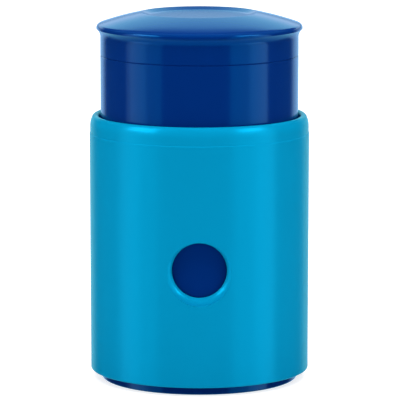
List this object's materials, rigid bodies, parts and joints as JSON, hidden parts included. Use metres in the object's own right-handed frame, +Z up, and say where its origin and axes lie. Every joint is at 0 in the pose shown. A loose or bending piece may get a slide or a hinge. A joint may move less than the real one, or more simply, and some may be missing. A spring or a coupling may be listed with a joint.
{
  "type": "barrel pencil sharpener",
  "caption": "Hand-held pencil sharpener: a drum with a domed lid holds the shavings and a wedge cutter, and an outer sleeve slides up to line up its pencil port or down to shut it.",
  "frame": {"origin": "middle of the foot that the drum stands on", "axes": "+Z up the barrel to the lid, ports facing -Y, +X to the right as seen from the port's side"},
  "size_m": [0.038, 0.038, 0.0637],
  "materials": {
    "dark_blue_plastic": "glossy moulded dark blue",
    "light_blue_plastic": "satin to glossy moulded light blue",
    "cradle_plastic": "satin moulded dark blue",
    "block_metal": "milled light metal",
    "blade_steel": "ground steel",
    "screw_steel": "plated steel"
  },
  "bodies": {
    "drum": {"drum": "dark_blue_plastic", "cutter_cradle": "cradle_plastic", "sharpener_block": "block_metal", "blade": "blade_steel", "blade_screw": "screw_steel"},
    "sleeve": {"outer_sleeve": "light_blue_plastic"},
    "cap": {"cap": "dark_blue_plastic"}
  },
  "joints": [
    {"name": "sleeve_slide", "type": "slide", "parent": "drum", "child": "sleeve", "axis": [0, 0, 1], "range_m": [0, 0.0135]},
    {"name": "cap_lift", "type": "slide", "parent": "drum", "child": "cap", "axis": [0, 0, 1], "range_m": [0, 0.03]}
  ]
}
